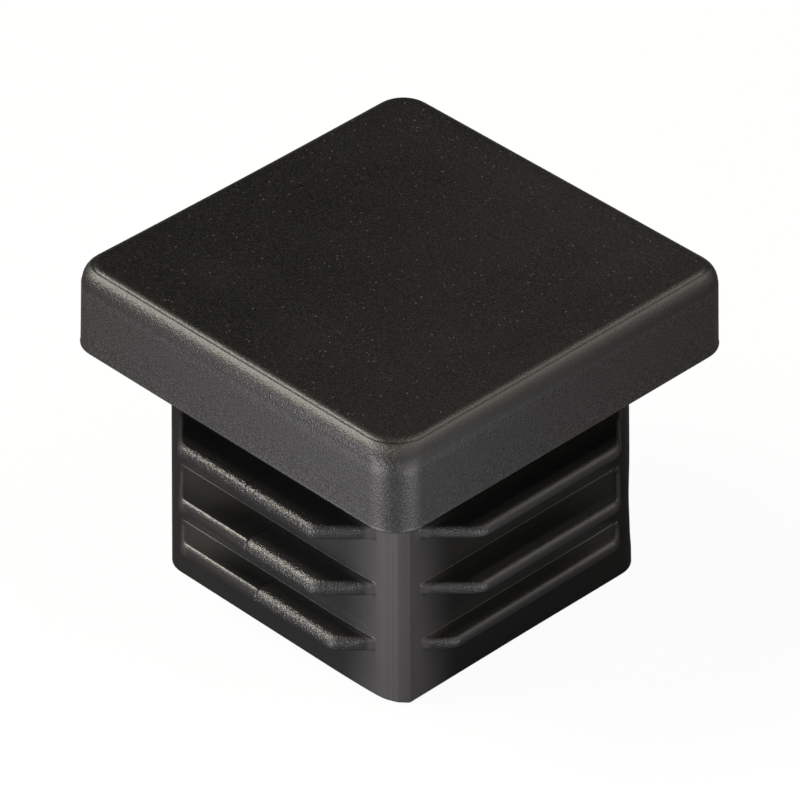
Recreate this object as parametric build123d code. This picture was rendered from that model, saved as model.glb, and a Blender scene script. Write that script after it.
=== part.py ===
from build123d import *
import os
from math import radians, sqrt, tan

# Square ribbed end cap for a square steel tube, moulded in one piece of soft polyethylene.
# Millimetres, +Z up and out of the tube. The origin is the centre of the head's underside,
# which is the plane of the tube's cut end. The mould halves part on the plane x = 0 and are
# pulled apart along X.

# Head: stays outside the tube and covers its cut end
head_width = 25.0            # across the sides where they meet the tube, the tube's outside
head_thickness = 5.05
head_corner_radius = 1.9
head_draft = 1.1             # degrees, the sides lean in towards the crown
crown_edge_round = 1.05
head_lower_edge_round = 0.12

# Sleeve: the hollow square plug that goes into the tube
sleeve_width = 18.05         # across the walls, where they meet the head
sleeve_length = 14.5
sleeve_corner_radius = 1.6
sleeve_flare = 0.9           # degrees, the walls lean out towards the foot
sleeve_wall = 1.5
sleeve_root_round = 0.25     # concave round between the sleeve and the head
foot_edge_round = 0.12

# Hollow: left by the core, open at the foot and reaching up into the head
crown_wall = 2.5
hollow_draft = 0.5           # degrees, the hollow narrows towards the crown
hollow_corner_radius = 0.8
hollow_end_round = 0.6

# Fins: thin square collars round the sleeve that bend inside the tube and grip it
fin_count = 3
first_fin_drop = 3.53        # from the head's underside to the first fin's upper face
fin_pitch = 3.63
fin_stand_out = 2.32         # past the sleeve's wall, halfway down it
last_fin_stand_out = 1.65    # the fin nearest the foot is shorter, to lead into the tube
pulled_side_shortfall = 0.33 # and shorter again on the two X sides, which face the pull
fin_nose_thickness = 0.74
fin_root_thickness = 0.92
fin_upper_edge_round = 0.4
fin_lower_edge_round = 0.2
fin_tip_round = 0.6          # in plan, where a fin's long edge meets its end
fin_root_round = 0.15        # concave round where a fin's upper face meets the wall
root_round_bite = 0.01       # that round starts this far inside the wall and the fin
sleeve_corner_reveal = 0.53  # how far the sleeve's corner stands past the fins' ends

# The mould half at -X leaves a crisp upper edge on all but the first fin
crisp_fin_edge_round = 0.07


def sleeve_half_width(drop):
    """Half the sleeve's width at a distance below the head's underside."""
    return sleeve_width / 2 + drop * tan(radians(sleeve_flare))


def rounded_square(half_side, corner_radius, height):
    return Plane.XY.offset(height) * RectangleRounded(2 * half_side, 2 * half_side, corner_radius)


def edges_at_height(solid, height, tolerance=1e-4):
    """All the edges that lie flat at one height."""
    def lies_there(edge):
        box = edge.bounding_box()
        return abs(box.min.Z - height) < tolerance and abs(box.max.Z - height) < tolerance
    return solid.edges().filter_by(lies_there)


def make_head():
    outline = rounded_square(head_width / 2, head_corner_radius, 0)
    block = extrude(outline, head_thickness, taper=head_draft)
    block = fillet(edges_at_height(block, head_thickness), crown_edge_round)
    return fillet(edges_at_height(block, 0), head_lower_edge_round)


def make_sleeve_block():
    """The sleeve's outside, still solid: the hollow is cut once the fins are on it."""
    outline = rounded_square(sleeve_half_width(0), sleeve_corner_radius, 0)
    block = extrude(outline, -sleeve_length, taper=-sleeve_flare)
    return fillet(edges_at_height(block, -sleeve_length), foot_edge_round)


def fin_end_distance(drop):
    """From the axis to the slanting plane that cuts the fins' ends across each corner."""
    corner_reach = sqrt(2) * sleeve_half_width(drop) - (sqrt(2) - 1) * sleeve_corner_radius
    return corner_reach - sleeve_corner_reveal


def fin_outline(reach_x, reach_y, end_distance, height):
    """A rectangle whose corners are cut off at 45 degrees, at a stated distance from the axis."""
    corner_cut = reach_x + reach_y - sqrt(2) * end_distance
    rectangle = Rectangle(2 * reach_x, 2 * reach_y)
    cut_rectangle = chamfer(rectangle.vertices(), corner_cut)
    return Plane.XY.offset(height) * fillet(cut_rectangle.vertices(), fin_tip_round)


def make_fin(drop, stand_out_x, stand_out_y, upper_edge_round):
    """One collar: flat on top, with a rounded nose and a little thicker at the wall."""
    wall = sleeve_half_width(sleeve_length / 2)
    reach_x = wall + stand_out_x
    reach_y = wall + stand_out_y
    end_distance = fin_end_distance(sleeve_length / 2)
    nose_bottom = -drop - fin_nose_thickness
    root_bottom = -drop - fin_root_thickness
    collar = extrude(fin_outline(reach_x, reach_y, end_distance, nose_bottom), fin_nose_thickness)
    collar = fillet(edges_at_height(collar, -drop), upper_edge_round)
    collar = fillet(edges_at_height(collar, nose_bottom), fin_lower_edge_round)
    inset = fin_lower_edge_round
    thickening = loft([
        fin_outline(reach_x - inset, reach_y - inset, end_distance - inset, nose_bottom),
        fin_outline(wall, wall, end_distance - stand_out_y, root_bottom),
    ], ruled=True)
    return collar + thickening


def make_fin_root_rounds(drop):
    """Four concave strips that ease a fin's upper face into the sleeve's walls."""
    radius = fin_root_round
    wall = sleeve_half_width(drop)
    half_length = sqrt(2) * fin_end_distance(drop) - wall - radius
    arc_centre = Pos(wall + radius - root_round_bite, -drop + radius - root_round_bite)
    corner = Pos(wall, -drop) * Rectangle(2 * radius, 2 * radius)
    quarter = Pos(wall, -drop) * Rectangle(radius, radius, align=(Align.MIN, Align.MIN))
    section = (corner - quarter) + (quarter - arc_centre * Circle(radius))
    strip = extrude(Plane.XZ * section, half_length, both=True)
    return [Rot(Z=90 * side) * strip for side in range(4)]


def make_fin_from_both_halves(index):
    """The two mould halves meet at x = 0 and leave their own edge on each fin."""
    drop = first_fin_drop + index * fin_pitch
    is_last = index == fin_count - 1
    stand_out_y = last_fin_stand_out if is_last else fin_stand_out
    stand_out_x = stand_out_y - pulled_side_shortfall if is_last else stand_out_y
    soft = make_fin(drop, stand_out_x, stand_out_y, fin_upper_edge_round)
    if index == 0:
        return soft
    crisp = make_fin(drop, stand_out_x, stand_out_y, crisp_fin_edge_round)
    return split(soft, Plane.YZ, keep=Keep.TOP) + split(crisp, Plane.YZ, keep=Keep.BOTTOM)


def make_hollow():
    depth = sleeve_length + head_thickness - crown_wall
    mouth = sleeve_half_width(sleeve_length) - sleeve_wall
    outline = rounded_square(mouth, hollow_corner_radius, -sleeve_length)
    hollow = extrude(outline, depth, taper=hollow_draft)
    return fillet(edges_at_height(hollow, head_thickness - crown_wall), hollow_end_round)


def join_head_and_sleeve():
    """The head on the sleeve block, with a concave round in the corner where a tube's wall ends."""
    joined = make_head() + make_sleeve_block()

    def meets_sleeve(edge):
        middle = edge.center()
        return max(abs(middle.X), abs(middle.Y)) < sleeve_half_width(0) + 0.001
    return fillet(edges_at_height(joined, 0).filter_by(meets_sleeve), sleeve_root_round)


def make_cap():
    cap = join_head_and_sleeve()
    for index in range(fin_count):
        cap += make_fin_from_both_halves(index)
        cap += make_fin_root_rounds(first_fin_drop + index * fin_pitch)
    return cap - make_hollow()


os.makedirs("parts", exist_ok=True)
export_step(make_cap(), "parts/tube_end_cap.step")
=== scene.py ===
"""Looks for a square ribbed end cap moulded in one piece of black polyethylene.

The cap is one closed skin: rings of points stacked from the middle of its crown, down the head,
round each fin of the sleeve, over the foot's rim and up the hollow to its ceiling. The head, the
fins' noses and the crown carry the spark-eroded grain of the mould; the sleeve's walls are smoother.

Named lengths are millimetres and angles are degrees. +Z points up out of the tube, and z = 0 is
the head's underside, as in the CAD frame.
"""

import bmesh
import bpy
import numpy as np
from mathutils import Matrix, Vector


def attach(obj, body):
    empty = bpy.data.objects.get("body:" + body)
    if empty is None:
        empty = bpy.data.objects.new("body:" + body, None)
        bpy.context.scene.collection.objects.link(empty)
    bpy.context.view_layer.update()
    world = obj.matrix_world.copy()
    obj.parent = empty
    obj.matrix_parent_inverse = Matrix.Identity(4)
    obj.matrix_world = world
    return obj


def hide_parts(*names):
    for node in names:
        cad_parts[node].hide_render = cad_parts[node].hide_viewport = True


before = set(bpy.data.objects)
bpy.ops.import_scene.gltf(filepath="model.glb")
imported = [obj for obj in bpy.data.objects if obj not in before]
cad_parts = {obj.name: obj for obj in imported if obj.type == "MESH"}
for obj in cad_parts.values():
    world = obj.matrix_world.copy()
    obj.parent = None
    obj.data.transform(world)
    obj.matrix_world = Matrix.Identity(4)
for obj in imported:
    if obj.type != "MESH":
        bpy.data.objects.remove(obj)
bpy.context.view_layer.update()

MM = 0.001
CAP_NODE = "tube_end_cap"
CAP_SLOT = "black_polyethylene"

# ------------------------------------------------------------------ the cap's sizes

head_half_width = 12.4977      # at the lip along the head's lower edge
head_thickness = 5.05
head_corner_radius = 1.9
head_back_corner_extra = 0.12  # the corner at -X +Y is rounder than the others
head_left_corner_less = 0.12   # the corner at -X -Y is sharper by this at its lower edge
head_left_corner_swing = 1.5   # this share of that is gone at the crown, where it is a little rounder
head_draft = 1.1
crown_edge_round = 1.05
crown_corner_extra = 0.9       # the crown's own corner at +X -Y is this much rounder than the sides'
head_lower_edge_round = 0.1
head_lip_height = 0.2          # the lowest strip of the head's side turns out by the flare
head_lip_flare = 0.02
back_left_bow = 0.07           # the side at -X is drawn in this much halfway along

witness_angle = 25.0           # where on the crown's round the mould's parting shows
witness_depth = 0.035
witness_half_width = 0.05
witness_steepness = 2.2        # of the bell that shapes the line's groove
witness_clear = 1.7            # the round's plain rings keep this many half widths off the line
sink_half_width = 8.3          # a shallow sink runs over the sleeve's walls
sink_spread = 1.25
sink_depth = 0.035

sleeve_half_width = 9.025
sleeve_length = 14.5
sleeve_corner_radius = 1.6
sleeve_flare = 0.9
sleeve_wall = 1.5
sleeve_root_round = 0.25
foot_edge_round = 0.12

crown_wall = 2.5
hollow_draft = 0.5
hollow_corner_radius = 0.8
hollow_end_round = 0.6

fin_drops = (3.53, 7.16, 10.79)
fin_reach_y = (11.46, 11.46, 10.80)      # noses of the fins on the Y sides, from the axis
fin_reach_x = (11.46, 11.46, 10.46)      # and on the X sides, which face the mould's pull
fin_nose_thickness_y = 0.8
fin_nose_thickness_x = 0.66
fin_root_extra = 0.13
fin_root_round = 0.05
fin_root_fade = 0.4            # the root's round shrinks where the flat top is narrower than this
fin_upper_round_y = (0.45, 0.55, 0.55)
fin_upper_round_x = (0.44, 0.36, 0.34)
fin_lower_round = 0.2
fin_tip_round = 0.14           # the upper round where a cut end meets the wall, and its growth outwards
fin_tip_growth = 0.45
crisp_round_y = 0.7
crisp_round_x = 0.5
crisp_start_angle = 38.0       # the crisp half's nose starts this steeply, with no round above
fin_end_line = 16.59           # x + y on the slanting planes that end the fins
fin_tip_blend_y = 0.22
fin_tip_blend_x = 0.5
parting_half_width = 0.045
parting_depth = 0.035

outline_points = 3000          # along which the outline is summed up
front_outline_length = 5.78    # the corner at +X -Y: lengths along its outline, and directions there
front_turn_lengths = (0.0, 2.4, 3.3, 3.65, 4.0, 4.2, 4.25, 5.0, 5.05, 5.6, 5.7)
front_turn_angles = (0.0, 1.5, 2.8, 4.0, 9.0, 13.0, 18.0, 27.0, 42.0, 44.5, 90.0)
front_ridge_places = (4.36, 4.50, 4.70)
front_ridge_height = 0.02
front_ridge_spread = 0.03
front_shift_fade = 1.0         # points further out from the wall than this keep off the outline

right_waist_fade = 2.5         # the corner at +X +Y is drawn in halfway down and swells at the foot
right_waist = 0.06
right_waist_drop = 10.0
right_waist_spread = 1.8
right_toe_fade = 8.0
right_toe_swell = 0.05
right_toe_start = 12.5
right_toe_height = 1.2

under_round_step = 0.06        # how far the first plain ring stands off the crown's round
root_step = 0.04               # off the round under the head
wall_step = 0.03               # off a fin and off the foot's round
hollow_step = 0.04             # off the foot's rim, inside
merge_distance = 2e-7          # metres: points nearer than this are one point
no_area_length = 1e-7          # metres: faces with edges shorter than this are dropped

# ------------------------------------------------------------------ stations round a ring


def tangent(degrees):
    """The tangent of an angle in degrees."""
    return float(np.tan(np.radians(degrees)))


def turned(vectors, quarter):
    """Vectors in plan turned by a number of quarter turns."""
    cos, sin = ((1, 0), (0, 1), (-1, 0), (0, -1))[quarter]
    return np.stack([vectors[:, 0] * cos - vectors[:, 1] * sin,
                     vectors[:, 0] * sin + vectors[:, 1] * cos], 1)


def both_ways(places):
    """The places on one half of a side, mirrored onto the other half, with the middle between."""
    places = np.asarray(places)
    return np.concatenate([-places[::-1], [0.0], places])


flat_half = sleeve_half_width + sleeve_length / 2 * tangent(sleeve_flare) - sleeve_corner_radius
side_places = both_ways(np.concatenate([
    [parting_half_width * 0.5, parting_half_width, 0.12, 0.4, 1.0, 1.8, 2.6, 3.4, 4.1],
    np.linspace(4.5, 6.6, 17), np.linspace(6.7, 7.53, 14)]) / flat_half)
arc_steps = (10, 10, 10, 60)
side_count = len(side_places)


def make_stations():
    """The stations of a ring, once round from the side at +X.

    A ring of half width h and corner radius r is (h - r) * q + r * n at each station: q walks
    along the sides of the unit square and waits in each corner, and n is the outward direction,
    which turns only while q waits. The last array is 1 on the flats and 0 in the corners.
    """
    q, n, flat = [], [], []
    for quarter, steps in enumerate(arc_steps):
        turn = np.radians(np.linspace(0, 90, steps + 2)[1:-1])
        side = np.stack([np.ones(side_count), side_places], 1)
        q.append(turned(np.concatenate([side, np.ones((steps, 2))]), quarter))
        n.append(turned(np.concatenate([np.tile([[1.0, 0.0]], (side_count, 1)),
                                        np.stack([np.cos(turn), np.sin(turn)], 1)]), quarter))
        flat.append(np.repeat([1.0, 0.0], [side_count, steps]))
    return np.concatenate(q), np.concatenate(n), np.concatenate(flat)


x_side_cosine = 0.7            # a station whose direction is nearer to X than this is on an X side
flat_cosine = 0.999            # and nearer than this, on its flat

Q, N, ON_SIDE = make_stations()
STATIONS = len(Q)
ON_X_SIDE = np.abs(N[:, 0]) > x_side_cosine


def ring(half_width, corner_radius, height):
    """Points of one ring, (h - r) * q + r * n at height z. Each value is a number or one per station."""
    half_width, corner_radius, height, _ = np.broadcast_arrays(half_width, corner_radius, height, ON_SIDE)
    plan = (half_width - corner_radius)[:, None] * Q + corner_radius[:, None] * N
    return np.column_stack([plan, height])


# ------------------------------------------------------------------ the head


def crown_sink(half_width):
    """How far the crown sinks at a distance from its middle: a bell-shaped dip over the sleeve's walls."""
    return sink_depth * np.exp(-((half_width - sink_half_width) / sink_spread) ** 2)


def head_radius(height):
    """The head's corner radius at each station: two corners differ a little, blended along the sides."""
    back = (1 - Q[:, 0]) * (1 + Q[:, 1]) / 4
    left = (1 - Q[:, 0]) * (1 - Q[:, 1]) / 4 * (1 - head_left_corner_swing * height / head_thickness)
    return head_corner_radius + head_back_corner_extra * back - head_left_corner_less * left


def crown_corner_more():
    """How much rounder the crown is at each station than the head's sides: full at +X -Y, blended away."""
    return crown_corner_extra * (1 + Q[:, 0]) * (1 - Q[:, 1]) / 4


def head_bow(share=1.0):
    """How far the side at -X is drawn in: a parabola that is 0 at the side's ends."""
    return -back_left_bow * share * (N[:, 0] < -flat_cosine) * (1 - Q[:, 1] ** 2)


def crown_rings(flat, flat_radius):
    """Rings over the crown from near its middle to its edge, at the crown's height less the sink."""
    rings = []
    for share in np.concatenate([np.linspace(0.1, 0.5, 4), np.linspace(0.57, 1.0, 14)]):
        edge = ring(flat + head_bow(share), flat_radius, head_thickness - crown_sink(flat * share))
        rings.append(edge * [share, share, 1.0])
    return rings


def crown_round_rings(flat, flat_radius):
    """The crown's round: R sin t out and R (1 - cos t) down, R less by a bell at the witness line.

    The corner radius grows with what is out, less the crown's own extra times sin^2 t.
    """
    groove = np.degrees(witness_half_width / crown_edge_round)
    across_groove = witness_angle + groove * np.array([-1.6, -1.0, -0.45, 0.0, 0.45, 1.0, 1.6])
    plain = np.linspace(5, 88.9, 17)
    away = np.abs(plain - witness_angle) > witness_clear * groove
    rings = []
    for degrees in np.sort(np.concatenate([plain[away], across_groove])):
        angle = np.radians(degrees)
        bell = np.exp(-witness_steepness * ((degrees - witness_angle) / groove) ** 2)
        radius = crown_edge_round - witness_depth * bell
        out = radius * np.sin(angle)
        down = crown_edge_round - radius * np.cos(angle) + crown_sink(flat) * np.cos(angle)
        radius_here = flat_radius + out - crown_corner_more() * np.sin(angle) ** 2
        rings.append(ring(flat + out + head_bow(), radius_here, head_thickness - down))
    return rings


def head_rings():
    """From the crown's middle out over its round, down the leaning side, round the lip, to the underside."""
    lean = tangent(head_draft)
    side = head_half_width - head_lip_flare + head_bow()
    flat = head_half_width - head_lip_flare - lean * head_thickness - crown_edge_round
    flat_radius = head_radius(head_thickness) - crown_edge_round + crown_corner_more()
    rings = crown_rings(flat, flat_radius) + crown_round_rings(flat, flat_radius)
    for height in np.linspace(head_thickness - crown_edge_round - under_round_step, head_lip_height, 7):
        rings.append(ring(side - lean * height, head_radius(height), height))
    for share in (0.35, 0.7, 1.0):
        height = head_lip_height + (head_lower_edge_round - head_lip_height) * share
        rings.append(ring(side + head_lip_flare * share ** 2 - lean * height, head_radius(height), height))
    low = side + head_lip_flare - lean * head_lower_edge_round
    radius = head_radius(0.0)
    for angle in np.radians([20, 45, 70, 90]):
        inset = head_lower_edge_round * (1 - np.cos(angle))
        rings.append(ring(low - inset, radius - inset, head_lower_edge_round * (1 - np.sin(angle))))
    inner, outer = sleeve_half_width + sleeve_root_round, low - head_lower_edge_round
    for share in (0.01, 0.3, 0.8):
        rings.append(ring(outer + (inner - outer) * share, radius, 0.0))
    return rings


# ------------------------------------------------------------------ the sleeve


def wall_half(drop):
    """Half the sleeve's width at a drop below the head: it grows by the tangent of the flare."""
    return sleeve_half_width + np.asarray(drop) * tangent(sleeve_flare)


def front_outline():
    """The outline of the sleeve's corner at +X -Y, from the point where its walls would meet.

    Its direction starts along the -Y wall, turns slowly to a first facet, then to a second, and
    meets the +X wall at a crisp edge. The outline is the running sum of (cos, sin) of that
    direction along its length, laid to end on the +X wall. Three faint ridges stand on the
    first facet, each a bell-shaped rise at right angles to the outline.
    """
    length = np.linspace(0, front_outline_length, outline_points)
    direction = np.radians(np.interp(length, front_turn_lengths, front_turn_angles))
    across = np.cumsum(np.cos(direction)) * length[1]
    along = np.cumsum(np.sin(direction)) * length[1]
    rise = sum(front_ridge_height * np.exp(-((length - place) / front_ridge_spread) ** 2)
               for place in front_ridge_places)
    return length, across - across[-1] + rise * np.sin(direction), along - rise * np.cos(direction)


def front_corner_shift():
    """How far each station of the sleeve stands from a plain round corner at +X -Y, in plan."""
    length, across, along = front_outline()
    shift = np.zeros((STATIONS, 2))
    steps = arc_steps[-1]
    side = slice(-steps - side_count, -steps)
    from_corner = (Q[side, 0] - 1) * flat_half - sleeve_corner_radius
    shift[side, 1] = np.interp(from_corner, across, along)
    first = np.interp(-sleeve_corner_radius, across, length)
    marks = np.linspace(first, front_outline_length, steps + 1)[1:]
    outline = np.stack([np.interp(marks, length, across), np.interp(marks, length, along)], 1)
    shift[-steps:] = outline - sleeve_corner_radius * (N[-steps:] - [1.0, -1.0])
    return shift


FRONT_SHIFT = front_corner_shift()


def near_right_corner(fade):
    """A smooth step that is 1 at the corner at +X +Y and 0 this far along the walls from it."""
    near = np.clip(1 - (2 - Q[:, 0] - Q[:, 1]) * flat_half / fade, 0, 1)
    return near ** 2 * (3 - 2 * near)


def right_corner_swell(height):
    """How far the corner at +X +Y stands out: less by a bell halfway down, more by a smooth step below."""
    drop = -np.asarray(height)
    toe = np.clip((drop - right_toe_start) / right_toe_height, 0, 1)
    waist = np.exp(-((drop - right_waist_drop) / right_waist_spread) ** 2)
    return (right_toe_swell * toe ** 2 * (3 - 2 * toe) * near_right_corner(right_toe_fade)
            - right_waist * waist * near_right_corner(right_waist_fade))


def sleeve_ring(out, height, corner_radius=sleeve_corner_radius, half_width=None):
    """A ring on the sleeve's wall, each station moved out by its own amount along its direction."""
    height = np.broadcast_to(height, STATIONS)
    points = ring(wall_half(-height) if half_width is None else half_width, corner_radius, height)
    keep = np.clip(1 - np.asarray(out) / front_shift_fade, 0, 1) * np.ones(STATIONS)
    points[:, :2] += (out + right_corner_swell(height))[:, None] * N + FRONT_SHIFT * keep[:, None]
    return points


def smooth_min(a, b, blend):
    """The lesser of a and b, rounded where they cross: lowered by (blend - |a - b|)^2 / (4 blend)."""
    overlap = np.clip(blend - np.abs(a - b), 0, None)
    return np.minimum(a, b) - overlap ** 2 / (4 * blend)


def fin_rings(index):
    """One fin as a stack of rings, each point at a place of the fin's section.

    In section, out from the wall: a concave quarter into the flat top, the convex round of the
    upper edge, the nose, a convex quarter at the lower edge, and an underside that falls to the
    wall. A fin stands out to its nose and is cut back along a plane x + y = constant at each end.
    Where it stands out by less than a round's radius, that round begins on the wall, at the angle
    t with 1 - sin t = out / radius. The half at -X starts its round steeply.
    """
    top = -fin_drops[index]
    wall = float(wall_half(fin_drops[index]))
    along = np.where(ON_X_SIDE, Q[:, 1], Q[:, 0]) * flat_half
    nose = np.where(ON_X_SIDE, fin_reach_x[index], fin_reach_y[index]) - wall
    blend = np.where(ON_X_SIDE, fin_tip_blend_x, fin_tip_blend_y)
    out = np.clip(smooth_min(nose, fin_end_line - wall - np.abs(along), blend), 0, None) * ON_SIDE
    crisp = (Q[:, 0] < 0) & (index > 0)
    soft_round = np.where(ON_X_SIDE, fin_upper_round_x[index], fin_upper_round_y[index])
    crisp_round = np.where(ON_X_SIDE, crisp_round_x, crisp_round_y)
    upper = np.minimum(np.where(crisp, crisp_round, soft_round), fin_tip_round + fin_tip_growth * out)
    steep = np.radians(np.where(crisp, crisp_start_angle, 0.0))
    start = np.maximum(steep, np.arcsin(np.clip(1 - out / upper, 0, 1)))
    end = np.arccos(np.clip(1 - out / fin_lower_round, 0, 1))
    seam = parting_depth * np.clip(1 - np.abs(along) / parting_half_width, 0, 1) * ~ON_X_SIDE
    bottom = top - np.where(ON_X_SIDE, fin_nose_thickness_x, fin_nose_thickness_y)
    edge = np.clip(out - upper * (1 - np.sin(steep)), 0, None)
    edge_height = top - upper * (np.cos(steep) - np.cos(start)) - seam
    root = fin_root_round * np.clip(edge / fin_root_fade, 0, 1)
    section = []
    for angle in np.radians(np.linspace(0, 90, 5)):
        section.append((root * (1 - np.cos(angle)), edge_height + root * (1 - np.sin(angle))))
    for share in (0.04, 0.35, 0.7, 0.985):
        section.append((root + (edge - root) * share, edge_height))
    for share in np.linspace(0, 1, 9):
        angle = start + (np.pi / 2 - start) * share
        section.append((out - upper * (1 - np.sin(angle)) - seam * np.sin(angle),
                        top - upper * (np.cos(steep) - np.cos(angle)) - seam * np.cos(angle)))
    nose_top = top - upper * np.cos(steep)
    for share in (0.3, 0.8):
        section.append((out - seam, nose_top + (bottom + fin_lower_round - nose_top) * share))
    for share in np.linspace(0, 1, 5):
        section.append((out - fin_lower_round * (1 - np.cos(end * share)),
                        bottom + fin_lower_round * (1 - np.sin(end * share))))
    under, under_height = section[-1]
    for share in (0.08, 0.5, 0.92, 1.0):
        section.append((under * (1 - share), under_height - fin_root_extra * share * np.clip(under, 0, 1)))
    return [sleeve_ring(outward, height) for outward, height in section]


def wall_rings(upper, lower):
    """Rings of plain wall, evenly spaced between two heights."""
    return [sleeve_ring(0.0, height) for height in np.linspace(upper, lower, 4)]


def sleeve_rings():
    """Down the sleeve: the round under the head, plain wall, a fin, plain wall and so on, the foot's rim."""
    rings = []
    for angle in np.radians(np.linspace(0, 90, 6)):
        out = sleeve_root_round * (1 - np.sin(angle))
        rings.append(sleeve_ring(0.0, -sleeve_root_round * (1 - np.cos(angle)), sleeve_corner_radius + out,
                                 sleeve_half_width + out))
    height = -sleeve_root_round - root_step
    for index, drop in enumerate(fin_drops):
        rings += wall_rings(height, -drop + fin_root_round + wall_step)
        rings += fin_rings(index)
        height = -drop - fin_nose_thickness_y - fin_root_extra - wall_step
    rings += wall_rings(height, -sleeve_length + foot_edge_round + wall_step)
    foot_half = float(wall_half(sleeve_length))
    for angle in np.radians(np.linspace(0, 90, 5)):
        inset = foot_edge_round * (1 - np.cos(angle))
        rings.append(sleeve_ring(0.0, -sleeve_length + foot_edge_round * (1 - np.sin(angle)),
                                 sleeve_corner_radius - inset, foot_half - inset))
    return rings


# ------------------------------------------------------------------ the hollow


def hollow_rings():
    """Across the foot's rim, up the inner walls, round the end of the hollow and over its ceiling."""
    outer = float(wall_half(sleeve_length)) - foot_edge_round
    mouth = float(wall_half(sleeve_length)) - sleeve_wall
    lean = tangent(hollow_draft)
    rings = []
    for share in (0.5, 0.97, 1.0):
        radius = sleeve_corner_radius + (hollow_corner_radius - sleeve_corner_radius) * share
        rings.append(ring(outer + (mouth - outer) * share, radius, -sleeve_length))
    ceiling = head_thickness - crown_wall
    top = ceiling - hollow_end_round
    for height in np.linspace(-sleeve_length + hollow_step, top, 6):
        rings.append(ring(mouth - lean * (height + sleeve_length), hollow_corner_radius, height))
    half_top = mouth - lean * (top + sleeve_length)
    for angle in np.radians(np.linspace(12, 90, 7)):
        inset = hollow_end_round * (1 - np.cos(angle))
        rings.append(ring(half_top - inset, hollow_corner_radius - inset,
                          ceiling - hollow_end_round * (1 - np.sin(angle))))
    return rings + [rings[-1] * [share, share, 1.0] for share in (0.97, 0.7, 0.4, 0.1)]


# ------------------------------------------------------------------ the skin


def skin_mesh(name, rings):
    """A closed skin over stacked rings: quads from ring to ring, and a fan to a pole at each end."""
    levels = len(rings)
    poles = [rings[0].mean(0), rings[-1].mean(0)]
    points = np.concatenate(rings + [np.array(poles)]) * MM
    level, station = np.meshgrid(np.arange(levels - 1), np.arange(STATIONS), indexing="ij")
    beside = (station + 1) % STATIONS
    quads = np.stack([level * STATIONS + station, (level + 1) * STATIONS + station,
                      (level + 1) * STATIONS + beside, level * STATIONS + beside], -1).reshape(-1, 4)
    around = np.arange(STATIONS)
    following = (around + 1) % STATIONS
    first_pole, last_pole = levels * STATIONS, levels * STATIONS + 1
    last = (levels - 1) * STATIONS
    fans = np.concatenate([
        np.stack([np.full(STATIONS, first_pole), around, following], -1),
        np.stack([np.full(STATIONS, last_pole), last + following, last + around], -1)])
    corners = np.concatenate([quads.ravel(), fans.ravel()])
    starts = np.concatenate([np.arange(len(quads)) * 4, len(quads) * 4 + np.arange(len(fans)) * 3])
    mesh = bpy.data.meshes.new(name)
    mesh.vertices.add(len(points))
    mesh.vertices.foreach_set("co", points.astype(np.float32).ravel())
    mesh.loops.add(len(corners))
    mesh.loops.foreach_set("vertex_index", corners.astype(np.int32))
    mesh.polygons.add(len(starts))
    mesh.polygons.foreach_set("loop_start", starts.astype(np.int32))
    mesh.update(calc_edges=True)
    mesh.validate()
    return mesh


def close_and_smooth(mesh):
    """Merge points that fell together, drop faces with no area, turn the faces outwards, shade smooth."""
    work = bmesh.new()
    work.from_mesh(mesh)
    bmesh.ops.remove_doubles(work, verts=work.verts, dist=merge_distance)
    bmesh.ops.dissolve_degenerate(work, edges=work.edges, dist=no_area_length)
    bmesh.ops.recalc_face_normals(work, faces=work.faces)
    work.to_mesh(mesh)
    work.free()
    mesh.polygons.foreach_set("use_smooth", np.ones(len(mesh.polygons), bool))


def placed(name, data):
    """A new object of the scene, with this mesh, lens or light."""
    thing = bpy.data.objects.new(name, data)
    bpy.context.scene.collection.objects.link(thing)
    return thing


def make_cap():
    """The closed skin, in place of the cap's node."""
    mesh = skin_mesh("cap_skin", head_rings() + sleeve_rings() + hollow_rings())
    close_and_smooth(mesh)
    cap = placed("cap_skin", mesh)
    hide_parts(CAP_NODE)
    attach(cap, "root")
    return cap


cap = make_cap()

# ------------------------------------------------------------------ materials


class Value:
    """A number that changes over a surface. Arithmetic on it adds Math nodes."""

    def __init__(self, finish, socket):
        self.finish, self.socket = finish, socket

    def math(self, operation, *terms):
        node = self.finish.add("Math", {"operation": operation}, dict(enumerate(terms)))
        return Value(self.finish, node.outputs[0])

    def __add__(self, other):
        return self.math("ADD", self, other)

    def __sub__(self, other):
        return self.math("SUBTRACT", self, other)

    def __rsub__(self, other):
        return self.math("SUBTRACT", other, self)

    def __mul__(self, other):
        return self.math("MULTIPLY", self, other)

    def __abs__(self):
        return self.math("ABSOLUTE", self)

    __radd__, __rmul__ = __add__, __mul__

    def greatest(self, other):
        return self.math("MAXIMUM", self, other)

    def ramp(self, low, high):
        """0 below low, 1 above high, and a smooth step between. Low may be the greater one."""
        node = self.finish.add("MapRange", {"interpolation_type": "SMOOTHSTEP", "clamp": True},
                               {"Value": self, "From Min": low, "From Max": high})
        return Value(self.finish, node.outputs[0])


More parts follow.
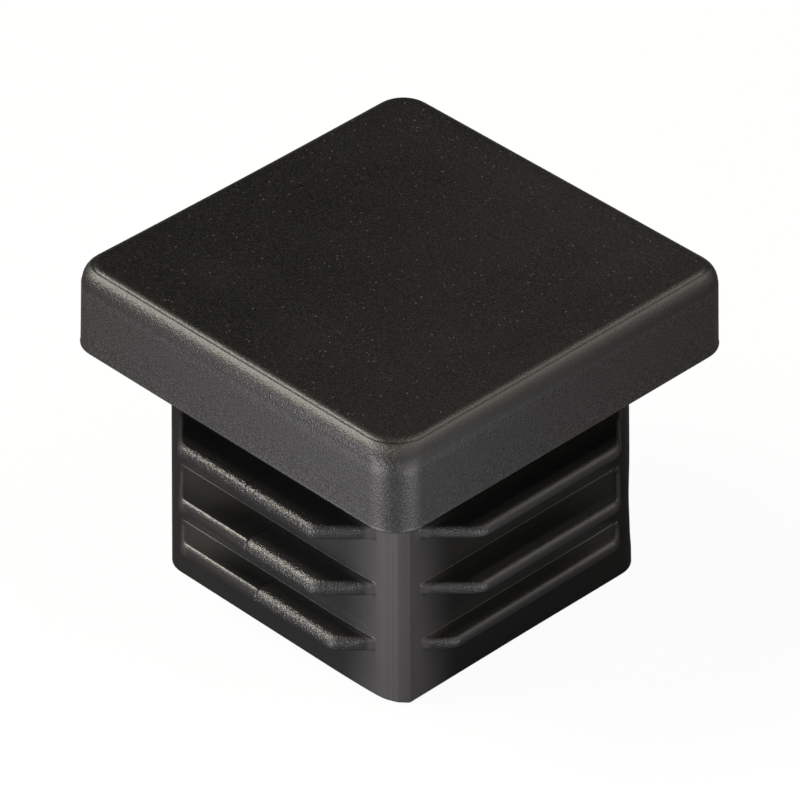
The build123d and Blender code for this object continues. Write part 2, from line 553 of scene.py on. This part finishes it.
class Finish:
    """One material and the nodes that make it."""

    def __init__(self, name):
        self.material = bpy.data.materials.new(name)
        self.material.use_nodes = True
        self.nodes, self.links = self.material.node_tree.nodes, self.material.node_tree.links
        self.nodes.clear()

    def add(self, kind, settings=None, sockets=None):
        """One node of a kind: its settings first, then a value or a link for each socket named."""
        node = self.nodes.new("ShaderNode" + kind)
        for name, setting in (settings or {}).items():
            setattr(node, name, setting)
        for name, value in (sockets or {}).items():
            if isinstance(value, Value):
                value = value.socket
            if isinstance(value, bpy.types.NodeSocket):
                self.links.new(value, node.inputs[name])
            else:
                node.inputs[name].default_value = value
        return node

    def places(self):
        """Where a point of the piece is, in millimetres: the vector and its three numbers."""
        place = self.add("TexCoord").outputs["Object"]
        place = self.add("Mapping", {"vector_type": "POINT"}, {"Vector": place, "Scale": (1 / MM,) * 3})
        parts = self.add("SeparateXYZ", None, {0: place.outputs[0]})
        return [place.outputs[0]] + [Value(self, socket) for socket in parts.outputs]

    def noise(self, place, grains_per_mm, detail):
        """Soft noise about a half, with so many grains to a millimetre and finer octaves as detail."""
        node = self.add("TexNoise", None, {"Vector": place, "Scale": grains_per_mm, "Detail": detail})
        return Value(self, node.outputs[0])

    def specks(self, place):
        """Small round specks in random cells: a step in the distance times a step in the cell's chance."""
        cells = self.add("TexVoronoi", None, {"Vector": place, "Scale": speck_scale})
        chance = self.add("SeparateColor", None, {0: cells.outputs["Color"]})
        return (Value(self, cells.outputs["Distance"]).ramp(*speck_rim)
                * Value(self, chance.outputs[0]).ramp(*speck_chance))

    def surface(self, shader):
        """The material, once a shader is its surface."""
        self.add("OutputMaterial", None, {"Surface": shader})
        return self.material


# where each part of the cap's skin begins: the places where its mask is 0 and where it is 1
crown_heights = (head_thickness - 0.35, head_thickness - 0.12)
round_heights = (head_thickness - 1.4, head_thickness - 1.0)
round_reaches = (11.4, 12.0)   # a reach is a distance from the axis, the greater of |x| and |y|
side_upper_heights = (head_thickness - 0.8, head_thickness - 1.2)
side_lower_heights = (-0.15, 0.0)
tube_heights = (0.0, -0.15)
third_fin_heights = (-9.2, -9.6)
crisp_places = (0.0, -0.1)     # along X: the crisp halves of the fins are the ones at -X
crisp_heights = (-5.4, -5.6)   # and the first fin has none
nose_reaches = (10.4, 10.8)
third_nose_nearer = 0.75       # the third fin's noses begin this much nearer the axis
crisp_nose_further = 0.45      # and the crisp ones this much further out
cut_end_sums = (16.0, 16.3)    # |x| + |y| near the planes that cut the fins' ends
fin_reaches = (9.35, 9.6)      # where the sleeve's wall gives way to a fin
post_reaches = (9.6, 9.35)     # and the other way round, for what stays on the wall
fin_top_reaches = (9.3, 9.45)
post_sums = (14.0, 17.2)       # x - y near the sleeve's corner at +X -Y, the post, where light is painted on
pulled_leads = (0.0, 0.5)      # how far |x| is ahead of |y| on the sides that the mould's pull drags

grain_scale = 8.0              # grains of the eroded mould to a millimetre
grain_detail = 1.0
fine_grain_scale = 14.0
fine_grain_detail = 0.0
coarse_part = 0.6              # of the grain's height; the fine grain gives the rest
fine_part = 0.4
grain_height = 0.06            # what the grain rises on the fins' noses at -Y and +Y
crown_share = 0.3              # the crown, the head's sides and the walls carry this share of it
side_share = 0.5
wall_share = 0.12
pull_calm = 0.6                # on the X sides the sleeve and the crown's round lose this share of it
crisp_calm = 0.6               # and so do the fins' crisp halves

grain_roughness = 0.50
crown_roughness = 0.34
round_roughness = 0.48         # on the round between the crown and the head's sides
pulled_round_more = 0.12       # that round is this much rougher at -X and +X
wall_roughness = 0.50          # of the sleeve's walls at -Y and +Y; the pulled ones are smoother
pulled_wall_roughness = 0.36
fin_top_roughness = 0.33
nose_roughness = 0.37          # of the fins' noses at -Y and +Y

speck_scale = 5.0              # cells to a millimetre
speck_rim = (0.34, 0.16)       # a speck fades in between these distances from its cell's middle
speck_chance = (0.88, 1.0)     # one cell in eight has a chance above the lower of these, and a speck
painted_glint_lift = 0.07             # painted glints: how much lighter the brightest speck is

shine = 0.8                    # the skin's reflectance, of which 0.5 is plain plastic
head_black = 0.010             # how much light the plastic returns from beneath its skin
# painted shade: the crown returns less light than the head's sides, so that the top renders darker
crown_black_with_painted_shade = 0.0055
crown_painted_light_drift = 0.0002           # painted light: the crown is this much lighter for each millimetre towards +X +Y, where the back lamp stands
crown_clouds = 0.008           # the crown's tone drifts by this much in soft clouds
clouds_scale = 0.13            # clouds to a millimetre
clouds_detail = 1.0
noise_middle = 0.5
crown_mottle = 0.012           # the tops of the fine grain are this much lighter
side_mottle = 0.03
mottle_edge = (0.4, 0.7)       # the fine noise where the mottle begins and where it is full
# painted shade: the sleeve's walls and the fins' tops, down between the fins, return less light than the
# head
wall_black_with_painted_shade = 0.003
# painted light: the sleeve's corner at +X -Y, open to the front lamps, returns more light than the walls
post_painted_light = 0.055
green_share = 0.98             # of the red that the plastic returns: the black is a little warm
blue_share = 0.95


def moulded_polyethylene():
    """Black polyethylene out of an eroded mould: the grain is full on the fins' noses, faint on the walls.

    Each part of the skin has a mask, a product of smooth steps in height, in reach and in sums of
    x and y. The grain is a weighted sum of coarse and fine noise, times what the masks leave of
    it. Roughness is the head's plus each mask times its part's difference, and on the crown's
    round a roughness of its own takes over. What light comes back is made the same way. The
    sleeve's walls and the fins' tops are darker, which is painted shade, and the post at +X -Y is
    lighter, which is painted light. The crown is darker, which is painted shade, with a painted-light
    drift towards +X +Y, soft clouds of tone and specks that are painted glints; a mottle from the
    fine noise lies on the whole head.
    """
    finish = Finish(CAP_SLOT)
    place, x, y, z = finish.places()
    reach = abs(x).greatest(abs(y))
    on_crown = z.ramp(*crown_heights)
    on_third_fin = z.ramp(*third_fin_heights)
    crisp = x.ramp(*crisp_places) * z.ramp(*crisp_heights)
    on_nose = (reach + on_third_fin * third_nose_nearer - crisp * crisp_nose_further).ramp(*nose_reaches)
    on_cut_end = (abs(x) + abs(y)).ramp(*cut_end_sums)
    in_tube = z.ramp(*tube_heights)
    on_wall = in_tube * (1 - reach.ramp(*fin_reaches) * on_nose.greatest(on_cut_end))
    on_fin_top = on_wall * reach.ramp(*fin_top_reaches)
    # the post's mask, where painted light makes the corner lighter
    on_painted_light_post = in_tube * reach.ramp(*post_reaches) * (x - y).ramp(*post_sums)
    on_round = reach.ramp(*round_reaches) * z.ramp(*round_heights)
    on_side = z.ramp(*side_lower_heights) * z.ramp(*side_upper_heights)
    pulled = (abs(x) - abs(y)).ramp(*pulled_leads) * (1 - on_crown)

    coarse = finish.noise(place, grain_scale, grain_detail)
    fine = finish.noise(place, fine_grain_scale, fine_grain_detail)
    calm = pulled * (in_tube * (1 - on_cut_end)).greatest(on_round) * pull_calm
    share = 1 - on_crown * (1 - crown_share) - on_side * (1 - side_share) - on_wall * (1 - wall_share)
    share = share * (1 - calm) * (1 - crisp * crisp_calm)
    height = (coarse * coarse_part + fine * fine_part) * share
    bump = finish.add("Bump", None, {"Height": height, "Strength": 1.0, "Distance": grain_height * MM})

    on_soft_nose = (in_tube - on_wall) * (1 - pulled.greatest(on_cut_end))
    wall_more = pulled * (pulled_wall_roughness - wall_roughness) + wall_roughness - grain_roughness
    roughness = (on_crown * (crown_roughness - grain_roughness)
                 + on_soft_nose * (nose_roughness - grain_roughness) + on_wall * wall_more
                 + on_fin_top * (1 - pulled) * (fin_top_roughness - wall_roughness) + grain_roughness)
    roughness = roughness * (1 - on_round) + on_round * (pulled * pulled_round_more + round_roughness)

    # painted glints: small lighter specks on the crown
    specks = finish.specks(place) * on_crown
    clouds = (finish.noise(place, clouds_scale, clouds_detail) - noise_middle) * crown_clouds
    # the crown's random clouds of tone, plus its painted shade and a painted-light drift towards +X +Y
    crown_tone_and_painted_light = (x + y) * crown_painted_light_drift + clouds + crown_black_with_painted_shade - head_black
    mottle = (on_crown * crown_mottle + on_side * side_mottle) * fine.ramp(*mottle_edge)
    # painted shade darkens the sleeve's walls, painted light lightens the post, and the crown carries
    # painted shade, a painted-light drift and painted glints
    black = (on_wall * (wall_black_with_painted_shade - head_black) + on_painted_light_post * (post_painted_light - wall_black_with_painted_shade)
             + on_crown * crown_tone_and_painted_light + specks * painted_glint_lift + head_black + mottle)
    tint = finish.add("CombineColor", None, {0: black, 1: black * green_share, 2: black * blue_share})
    shader = finish.add("BsdfPrincipled", None, {
        "Base Color": tint.outputs[0], "Roughness": roughness, "Specular IOR Level": shine,
        "Normal": bump.outputs[0]})
    return finish.surface(shader.outputs[0])


cap.data.materials.append(moulded_polyethylene())

# ------------------------------------------------------------------ floor, light, camera

floor_half_width = 3.0         # metres
floor_gap = 0.02               # millimetres under the foot, so that the two faces don't lie in one plane
floor_colour = (0.8, 0.8, 0.8, 1.0)
floor_glow = 0.94              # share of plain white in what the camera sees of the floor
dark_floor_colour = (0.1, 0.1, 0.1, 1.0)   # what the cap's sides have to mirror


def make_floor():
    """A square under the foot. The camera sees it white with the cap's shadow, and the cap sees it dark."""
    w, z = floor_half_width, -(sleeve_length + floor_gap) * MM
    mesh = bpy.data.meshes.new("floor")
    mesh.from_pydata([(-w, -w, z), (w, -w, z), (w, w, z), (-w, w, z)], [], [(0, 1, 2, 3)])
    floor = placed("floor", mesh)
    finish = Finish("white_floor")
    matt = finish.add("BsdfDiffuse", None, {"Color": floor_colour})
    glow = finish.add("Emission", None, {"Strength": 1.0})
    camera_sees = Value(finish, finish.add("LightPath").outputs["Is Camera Ray"])
    pale = finish.add("MixShader", None, {0: floor_glow, 1: matt.outputs[0], 2: glow.outputs[0]})
    dark = finish.add("BsdfDiffuse", None, {"Color": dark_floor_colour})
    both = finish.add("MixShader", None, {0: camera_sees, 1: dark.outputs[0], 2: pale.outputs[0]})
    mesh.materials.append(finish.surface(both.outputs[0]))


make_floor()

camera_azimuth = 45.945
camera_elevation = 35.283
camera_roll = -0.335
camera_distance = 339.61       # millimetres from the frame's origin
camera_lens = 288.93
camera_sensor = 36.0
camera_clips = (0.01, 10.0)    # metres
aim_drop = 3.061               # the camera looks this far below the origin, and this far left of it
aim_left = 0.012


def toward(azimuth, elevation):
    """The unit vector to a place at an azimuth from -Y round to +X, and at an elevation."""
    azimuth, elevation = np.radians([azimuth, elevation])
    return Vector((np.sin(azimuth) * np.cos(elevation), -np.cos(azimuth) * np.cos(elevation),
                   np.sin(elevation)))


def add_camera():
    """The camera, at its distance from the origin, aimed a little off it and rolled."""
    back = toward(camera_azimuth, camera_elevation)
    right = toward(camera_azimuth + 90, 0)
    eye = back * camera_distance * MM
    target = -(back.cross(right) * aim_drop + right * aim_left) * MM
    lens = bpy.data.cameras.new("camera")
    lens.lens, lens.sensor_width = camera_lens, camera_sensor
    lens.clip_start, lens.clip_end = camera_clips
    camera = placed("camera", lens)
    turn = (target - eye).to_track_quat("-Z", "Y").to_matrix().to_4x4()
    camera.matrix_world = Matrix.Translation(eye) @ turn @ Matrix.Rotation(np.radians(camera_roll), 4, "Z")
    bpy.context.scene.camera = camera


add_camera()

warm = (1.0, 0.97, 0.85)
cool = (1.0, 0.96, 1.02)
# name, azimuth, elevation, distance and width in metres, watts, colour
lamps = (
    ("key", -58, 46, 1.0, 0.65, 13.0, warm),
    ("back_right", 142, 54, 1.0, 1.2, 7.0, warm),
    ("front_card", 3, -4, 0.062, 0.032, 0.031, cool),
    ("right_card", 77, -4, 0.050, 0.022, 0.0090, cool),
)


def add_lamp(name, azimuth, elevation, distance, width, watts, colour):
    """A round soft lamp that faces the origin."""
    light = bpy.data.lights.new(name, "AREA")
    light.shape, light.size, light.energy, light.color = "DISK", width, watts, colour
    lamp = placed(name, light)
    lamp.location = toward(azimuth, elevation) * distance
    lamp.rotation_euler = (-lamp.location).to_track_quat("-Z", "Y").to_euler()


for lamp in lamps:
    add_lamp(*lamp)


def make_world():
    """White where the camera looks past the floor, and dark for everything else."""
    world = bpy.data.worlds.new("studio")
    bpy.context.scene.world = world
    world.use_nodes = True
    nodes, links = world.node_tree.nodes, world.node_tree.links
    nodes["Background"].inputs["Color"].default_value = (1.0, 1.0, 1.0, 1.0)
    seen = nodes.new("ShaderNodeLightPath").outputs["Is Camera Ray"]
    links.new(seen, nodes["Background"].inputs["Strength"])


make_world()

bpy.context.scene.view_settings.view_transform = "Standard"
